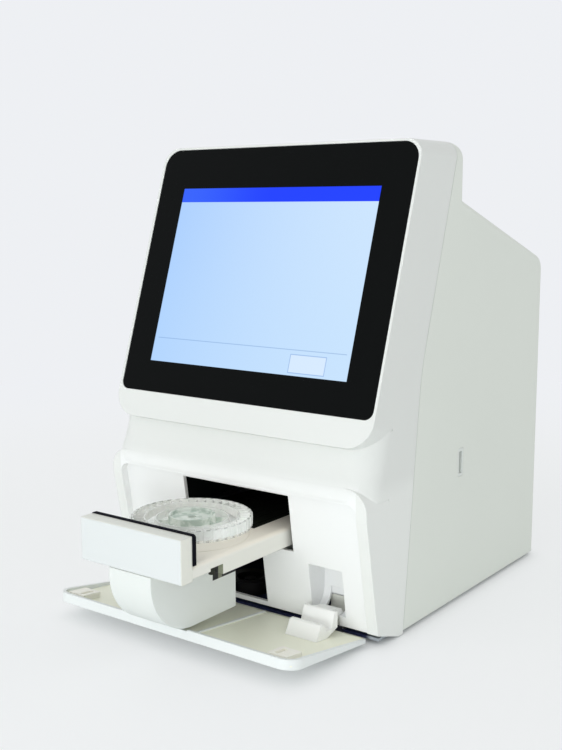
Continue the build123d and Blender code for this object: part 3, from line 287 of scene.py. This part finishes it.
def disc_look():
    """Clear moulded plastic, greener and darker over the hub, with painted dark refraction sparks round the
    rim.
    """
    hub_edge, rim_edge = (0.016, 0.025), (0.0300, 0.0304)
    tooth_edge, crown_ring = (0.0366, 0.0371), (0.0363, 0.0376)
    look = Look("reagent_disc_look", rough=0.14)
    _, x, y, z = look.place()
    side = y - DISC.y
    away = look.math("SQRT", x * x + side * side)
    hub = 1.0 - look.step(away, *hub_edge)
    blotch = look.step(look.noise(190.0, 3.0), 0.42, 0.62)
    pale = look.mix(blotch * 0.5, srgb(248, 250, 247), srgb(228, 235, 228))
    deep = look.mix(blotch, srgb(238, 247, 238), srgb(182, 199, 186))
    turn = look.math("ARCTAN2", side, x)
    cell = look.step(look.math("SINE", turn * DISC_CELLS), -0.2, 0.3)
    well_floor = look.step(away, *rim_edge) * (1.0 - look.step(z, DISC.z + 0.0014, DISC.z + 0.0018))
    tooth = look.step(away, *tooth_edge) * cell
    # Painted refraction: dark sparks at the foot of the teeth and on the rim's crown
    painted_foot_sparks = tooth * (1.0 - look.step(z, DISC.z + 0.0010, DISC.z + 0.0018))
    edge_top = look.step(z, DISC_TOP - 0.0006, DISC_TOP - 0.0003)
    painted_crown_sparks = look.band(away, *crown_ring, 0.0001) * cell * edge_top * (blotch * 0.5 + 0.25)
    shade = look.mix(hub, pale, deep)
    look.set("Base Color", look.mix((painted_foot_sparks + painted_crown_sparks) * 0.75, shade, srgb(70, 82, 74)))
    look.set("Alpha", (0.58 + hub * 0.16 + blotch * 0.14) * (1.0 - well_floor * 0.7))
    look.grain(420.0, 0.35, 0.0002, 0.0003)
    return look.material


def shell_look():
    """The front shell, painted whiter in its lower part and inside the flap's recess: painted light that
    evens out the shade there.
    """
    brow, recess_side = (0.092, 0.108), (FLAP_HALF + 0.0006, FLAP_HALF + 0.0010)
    look = Look("front_shell_look", rough=0.42)
    _, x, _, z = look.place()
    # Painted light: below the brow the shell is whiter, and whiter still inside the recess, to even out its
    # shade
    low = 1.0 - look.step(z, *brow)
    recess = low * (1.0 - look.step(look.absolute(x), *recess_side))
    upper = look.mix(look.noise(9.0, 3.0), srgb(231, 233, 230), srgb(235, 237, 234))
    lower = look.mix(low, upper, SATIN_WHITE)
    look.set("Base Color", look.mix(recess, lower, srgb(252, 253, 253)))
    look.satin()
    return look.material


def base_look():
    """Sheet steel painted dark navy, which also stands for the deep shade of the gap under the flap, with a
    pale painted shadow where it shows under the housing's rounded front corners.
    """
    corner_edge = (0.0925, 0.0965)
    look = Look("base_plate_look", rough=0.6, Specular_IOR_Level=0.2)
    # Painted shadow: pale grey at the corners, like the shaded bench; the navy stands for the gap's shade as
    # well as the steel's paint
    painted_corner_shadow = look.step(look.absolute(look.place()[1]), *corner_edge)
    look.set("Base Color", look.mix(painted_corner_shadow, srgb(38, 44, 78), srgb(168, 174, 180)))
    look.grain(700.0, 0.08, 0.00005)
    return look.material


def flap_look():
    """The flap: a white rim round a slightly creamier inner face."""
    inner_half, inner_far, face_depth = FLAP_HALF - 0.0024, 0.0827, 0.0004
    rim_white = srgb(240, 244, 243)
    look = Look("flap_door_look", rim_white, 0.42)
    lift = look.dot((0.0, math.sin(FLAP_SLOPE), math.cos(FLAP_SLOPE)), FLAP_START)
    along = look.dot((0.0, -math.cos(FLAP_SLOPE), math.sin(FLAP_SLOPE)), FLAP_START)
    within = look.absolute(look.place()[1]) < inner_half
    inner = look.band(lift, -face_depth, face_depth, 0.0001) * within * (along < inner_far)
    inner_cream = look.mix(look.noise(16.0, 3.0), srgb(246, 247, 228), srgb(250, 251, 234))
    look.set("Base Color", look.mix(inner, rim_white, inner_cream))
    look.satin()
    return look.material


def panel_look():
    """The drawer's front panel: a cool white face on a creamier body."""
    face_depth = (PANEL_FACE + 0.00015, PANEL_FACE + 0.0008)
    look = Look("drawer_front_look", rough=0.4)
    body = look.step(look.place()[2], *face_depth)
    look.set("Base Color", look.mix(body, srgb(227, 231, 231), srgb(238, 238, 229)))
    look.satin()
    return look.material


def nose_look():
    """The nose, with painted shade for a dark opening high in its sides behind the front panel, and a grey
    band in it for a post.
    """
    opening_foot, opening_front, post = (0.0411, 0.0414), (-0.1151, -0.1148), (-0.1096, -0.1060)
    color = srgb(234, 238, 235)
    look = Look("drawer_nose_look", color, 0.4)
    _, _, y, z = look.place()
    # Painted shade: the opening is dark, with a greyer band where a post stands in it
    opening = look.step(z, *opening_foot) * look.step(y, *opening_front)
    shade = look.mix(look.band(y, *post), PAINTED_GAP_SHADE, srgb(128, 130, 110))
    look.set("Base Color", look.mix(opening, color, shade))
    look.satin()
    return look.material


def tray_look():
    """The tray: painted lighter and warmer on top as painted light, with painted shade in the gap behind its
    front skirt and on its far left rim in the slot.
    """
    gap, gap_top = (-0.1442, -0.1328), (0.0619, 0.0622)
    side_edge = (TRAY_HALF - 0.0039, TRAY_HALF - 0.0035)
    shaded_front, shaded_right = (-0.0700, -0.0690), (-0.0240, -0.0236)
    rim = (TRAY_TOP - 0.0030, TRAY_TOP - 0.0006)
    look = Look("drawer_tray_look", CREAM, 0.4)
    _, x, y, z = look.place()
    # Painted shade in the gap behind the front skirt, greyer near the sides
    inside_gap = look.band(y, *gap, 0.00002) * (1.0 - look.step(z, *gap_top))
    gap_shade = look.mix(look.step(look.absolute(x), *side_edge), PAINTED_GAP_SHADE, srgb(140, 144, 122))
    # Painted shade on the far left rim inside the slot
    shaded = look.step(y, *shaded_front) * (1.0 - look.step(x, *shaded_right))
    # Painted light: the top is lighter and warmer
    painted_lit_top = look.mix(look.step(z, *rim), CREAM, srgb(252, 246, 232))
    painted_slot_shade = look.mix(shaded, painted_lit_top, srgb(16, 18, 16))
    look.set("Base Color", look.mix(inside_gap, painted_slot_shade, gap_shade))
    look.satin()
    return look.material


def well_look():
    """Moulded plastic with painted shade: dark navy towards the floor of the hinge well."""
    color = srgb(240, 241, 232)
    look = Look("hinge_well_look", color, 0.5)
    # Painted shade near the well's floor
    painted_floor_shade = look.step(look.place()[3], 0.0062, 0.0105)
    look.set("Base Color", look.mix(painted_floor_shade, srgb(34, 38, 62), color))
    look.satin(radius=None)
    return look.material


# Pieces with a look of their own
looks = {
    "front_shell": shell_look(),
    "screen_glass": screen_look(),
    "base_plate": base_look(),
    "flap_door": flap_look(),
    "drawer_tray": tray_look(),
    "drawer_front": panel_look(),
    "drawer_nose": nose_look(),
    "reagent_disc": disc_look(),
}
# Colour, roughness and, where it isn't plain, shine
plastics = {
    "rear_shell": (SIDE_WHITE, 0.48),
    "chamber_cover": (srgb(18, 24, 22), 0.75, 0.1),
    "optics_block": (srgb(26, 26, 28), 0.4),
    "drive_pinion": (srgb(232, 230, 220), 0.4),
    "fan_frame": (srgb(24, 24, 25), 0.5),
    "fan_rotor": (srgb(28, 28, 29), 0.45),
    "power_inlet": (srgb(22, 22, 23), 0.45),
    "switch_frame": (srgb(24, 24, 25), 0.4),
    "power_switch": (srgb(20, 20, 21), 0.3),
    "side_port": (srgb(232, 236, 232), 0.35),
    "speaker": (srgb(22, 21, 22), 0.5),
    "hinge_arm_left": (ARM_WHITE, 0.42),
    "hinge_arm_right": (ARM_WHITE, 0.42),
    "latch_tab_left": (TAB_WHITE, 0.42),
    "latch_tab_right": (TAB_WHITE, 0.42),
    "drawer_rack": (srgb(228, 226, 216), 0.4),
    "tray_liner": (srgb(24, 28, 22), 0.7, 0.15),
    "disc_hub": (srgb(200, 202, 200), 0.35),
}
# Colour, roughness, the axis it is brushed along, and how metallic it is
metals = {
    "lcd_panel": ((0.55, 0.56, 0.58), 0.35),
    "display_bracket": ((0.6, 0.61, 0.62), 0.4),
    "chassis": ((0.45, 0.46, 0.47), 0.4, "Y"),
    "rail_left": ((0.35, 0.35, 0.36), 0.35, "Y"),
    "rail_right": ((0.35, 0.35, 0.36), 0.35, "Y"),
    "deck_screws": ((0.6, 0.6, 0.6), 0.3),
    "board_standoffs": ((0.72, 0.52, 0.24), 0.3, "Z"),
    "drive_motor": ((0.5, 0.5, 0.51), 0.35, "Z"),
    "io_board": ((0.68, 0.69, 0.7), 0.25),
    "rear_screws": ((0.6, 0.6, 0.6), 0.3),
    "hinge_bracket_left": ((0.5, 0.5, 0.5), 0.4),
    "hinge_bracket_right": ((0.5, 0.5, 0.5), 0.4),
    "hinge_pin_left": ((0.6, 0.6, 0.6), 0.25),
    "hinge_pin_right": ((0.6, 0.6, 0.6), 0.25),
    "spindle_motor": ((0.45, 0.45, 0.46), 0.35, "Z"),
    "latch_posts": (srgb(44, 46, 38), 0.6, "Z", 0.4),
}
# Colour and roughness
rubbers = {
    "feet": (srgb(32, 32, 34), 0.8),
    "light_seal": (srgb(9, 9, 20), 0.9),
}
# Colours of the board and of its chips
boards = {
    "display_board": (srgb(20, 92, 48), srgb(18, 18, 20)),
    "main_board": (srgb(18, 86, 44), srgb(20, 20, 22)),
    "power_supply": (srgb(120, 92, 40), srgb(40, 40, 44)),
}
makers = ((plastic, plastics), (metal, metals), (rubber, rubbers), (board_look, boards))
for make, finishes in makers:
    for name, finish in finishes.items():
        looks[name] = make(f"{name}_look", *finish)
for name, material in looks.items():
    mesh = nodes[name].data
    mesh.materials.clear()
    mesh.materials.append(material)


def add_mesh(name, build, material):
    """A new mesh object from a function that fills a bmesh."""
    data = bpy.data.meshes.new(name)
    work = bmesh.new()
    build(work)
    work.to_mesh(data)
    work.free()
    data.materials.append(material)
    made = bpy.data.objects.new(name, data)
    bpy.context.scene.collection.objects.link(made)
    return made


def ring_of(work, count, low, high, near, far, wide):
    """Small upright walls set round the disc, from one radius to another."""
    for index in range(count):
        made = bmesh.ops.create_cube(work, size=1.0)["verts"]
        bmesh.ops.scale(work, vec=(far - near, wide, high - low), verts=made)
        bmesh.ops.translate(work, vec=((near + far) / 2, 0.0, (low + high) / 2), verts=made)
        turn = Matrix.Rotation(2 * math.pi * index / count, 3, "Z")
        bmesh.ops.rotate(work, cent=(0, 0, 0), matrix=turn, verts=made)


def disc_shape(work):
    """The test disc: a hub cap, two ridges and a ring of open wells inside a toothed rim."""
    top = DISC_TOP - DISC.z
    deck, well_floor = 0.0020, 0.0012
    cap, ridge, inner_rim = top - 0.0018, top - 0.0016, top - 0.0006
    bore, reach = 0.0027, 0.0374
    outline = [
        (bore, cap), (0.0128, cap), (0.0134, top), (0.0146, top), (0.0150, deck),
        (0.0218, deck), (0.0222, ridge), (0.0232, ridge), (0.0236, deck), (0.0288, deck),
        (0.0291, inner_rim), (0.0301, inner_rim), (0.0303, well_floor), (0.0361, well_floor),
        (0.0364, top), (reach, top), (reach, 0.0), (bore, 0.0),
    ]
    points = [work.verts.new((radius, 0.0, height)) for radius, height in outline]
    edges = [work.edges.new(ends) for ends in zip(points, points[1:] + points[:1])]
    bmesh.ops.spin(
        work, geom=points + edges, cent=(0, 0, 0), axis=(0, 0, 1),
        angle=2 * math.pi, steps=120, use_merge=True,
    )
    bmesh.ops.recalc_face_normals(work, faces=work.faces)
    # Walls between the wells, teeth outside the rim, spokes between hub and ridge
    ring_of(work, DISC_CELLS, 0.0006, top - 0.0009, 0.0302, 0.0363, 0.0007)
    ring_of(work, DISC_CELLS, 0.0003, top - 0.0003, 0.0372, 0.0379, 0.0034)
    ring_of(work, 8, 0.0015, top - 0.0030, 0.0148, 0.0220, 0.0009)
    bmesh.ops.translate(work, vec=DISC, verts=work.verts)


disc = add_mesh("test_disc", disc_shape, looks["reagent_disc"])
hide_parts("reagent_disc")
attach(disc, "disc")
# Clear plastic lets the light through to the tray
disc.visible_shadow = False
disc.visible_diffuse = False


def well_shape(side):
    """A bent sheet behind an arm pocket's slit, clear of the arm's swing."""
    outline = [
        (-0.0462, 0.0290), (-0.0452, 0.0150), (-0.0462, 0.0090),
        (-0.0500, 0.0056), (-0.0560, 0.0046), (-0.0618, 0.0044),
    ]
    near, far, thickness = 0.0586, 0.0768, 0.0008

    def build(work):
        ends = []
        for x in (near, far):
            points = [work.verts.new((side * x, y, z)) for y, z in outline]
            ends += [work.edges.new(pair) for pair in zip(points, points[1:])]
        bmesh.ops.bridge_loops(work, edges=ends)
        bmesh.ops.recalc_face_normals(work, faces=work.faces)
        bmesh.ops.solidify(work, geom=work.faces[:], thickness=thickness)

    return build


well_plastic = well_look()
for side, name in ((1, "hinge_well_right"), (-1, "hinge_well_left")):
    well = add_mesh(name, well_shape(side), well_plastic)
    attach(well, "housing")


def floor_look():
    """A pale bench that fades into the backdrop. Its glow is seen, and lights nothing. It holds a painted
    pool of light near the analyzer and a painted contact shadow.
    """
    near_share, fade = 0.58, (0.3, 1.0)
    look = Look("floor_look", (0.935, 0.955, 0.955), 0.7)
    _, x, y, _ = look.place()
    far = look.step(look.math("SQRT", x * x + y * y), *fade)
    seen = look.node("ShaderNodeLightPath", out="Is Camera Ray")
    reach = {"Distance": 0.014}
    # Painted contact shadow: where ambient occlusion finds the analyzer close, the shaded bench shows through
    # the glow
    open_part = look.node("ShaderNodeAmbientOcclusion", {"samples": 8}, reach, out="AO")
    near_glow, far_glow = [
        look.node("ShaderNodeEmission", {}, {"Color": (*color, 1.0), "Strength": 1.0})
        for color in (BENCH_GLOW, BACKDROP)
    ]
    glow = look.node("ShaderNodeMixShader", {}, {0: far, 1: near_glow, 2: far_glow})
    bench = Value(look, look.shader.outputs["BSDF"])
    share = (far * (1.0 - near_share) + near_share) * seen * open_part
    look.surface(look.node("ShaderNodeMixShader", {}, {0: share, 1: bench, 2: glow}))
    return look.material


def floor_shape(work):
    bmesh.ops.create_grid(work, x_segments=2, y_segments=2, size=12.0)


floor = add_mesh("floor", floor_shape, floor_look())


def area_light(name, place, target, size, power, color):
    """A round soft lamp that isn't itself seen."""
    data = bpy.data.lights.new(name, "AREA")
    data.shape = "DISK"
    data.size = size
    data.energy = power
    data.color = color
    made = bpy.data.objects.new(name, data)
    made.location = place
    aim = Vector(target) - Vector(place)
    made.rotation_euler = aim.to_track_quat("-Z", "Y").to_euler()
    made.visible_glossy = False
    made.visible_camera = False
    bpy.context.scene.collection.objects.link(made)


# Name, place, aim, width, power in watts and colour of each lamp
middle = (0.0, -0.03, 0.12)
area_light("key", (-0.75, -1.3, 1.15), middle, 1.1, 2.5, (1.0, 1.0, 0.99))
area_light("fill", (0.12, -1.5, 0.26), middle, 0.9, 1.9, (0.965, 0.985, 1.0))
area_light("low_fill", (0.32, -0.95, 0.07), (0.05, -0.1, 0.05), 0.3, 2.3, (0.945, 0.98, 1.0))


def studio_world():
    """Soft light on the analyzer, and the backdrop's colour for the camera, gloss and clear parts."""
    world = bpy.data.worlds.new("studio")
    world.use_nodes = True
    tree = world.node_tree
    tree.nodes.clear()
    lit, seen = [tree.nodes.new("ShaderNodeBackground") for _ in range(2)]
    lit.inputs["Color"].default_value = (0.965, 0.98, 0.975, 1.0)
    lit.inputs["Strength"].default_value = 0.74
    seen.inputs["Color"].default_value = (*BACKDROP, 1.0)
    path = tree.nodes.new("ShaderNodeLightPath")
    rays = path.outputs["Is Camera Ray"]
    for kind in ("Is Glossy Ray", "Is Transmission Ray"):
        either = tree.nodes.new("ShaderNodeMath")
        either.operation = "MAXIMUM"
        tree.links.new(rays, either.inputs[0])
        tree.links.new(path.outputs[kind], either.inputs[1])
        rays = either.outputs[0]
    blend = tree.nodes.new("ShaderNodeMixShader")
    output = tree.nodes.new("ShaderNodeOutputWorld")
    for index, socket in enumerate((rays, lit.outputs[0], seen.outputs[0])):
        tree.links.new(socket, blend.inputs[index])
    tree.links.new(blend.outputs[0], output.inputs["Surface"])
    return world


def fitted_camera():
    """The camera that the photograph was taken with, as its straight edges give it."""
    yaw, pitch, roll = [math.radians(angle) for angle in (36.64, 8.95, -0.17)]
    flat = math.cos(pitch)
    forward = Vector((-math.sin(yaw) * flat, math.cos(yaw) * flat, -math.sin(pitch)))
    right = Vector((math.cos(yaw), math.sin(yaw), 0.0))
    up = right.cross(forward)
    turned_right = right * math.cos(roll) + up * math.sin(roll)
    turned_up = up * math.cos(roll) - right * math.sin(roll)
    data = bpy.data.cameras.new("camera")
    data.sensor_width = 36.0
    data.lens = 51.5
    data.clip_start = 0.01
    made = bpy.data.objects.new("camera", data)
    pose = Matrix((turned_right, turned_up, -forward)).transposed().to_4x4()
    pose.translation = Vector((0.4318, -0.6010, 0.2708))
    made.matrix_world = pose
    bpy.context.scene.collection.objects.link(made)
    return made


scene = bpy.context.scene
scene.world = studio_world()
scene.camera = fitted_camera()
scene.view_settings.view_transform = "Standard"
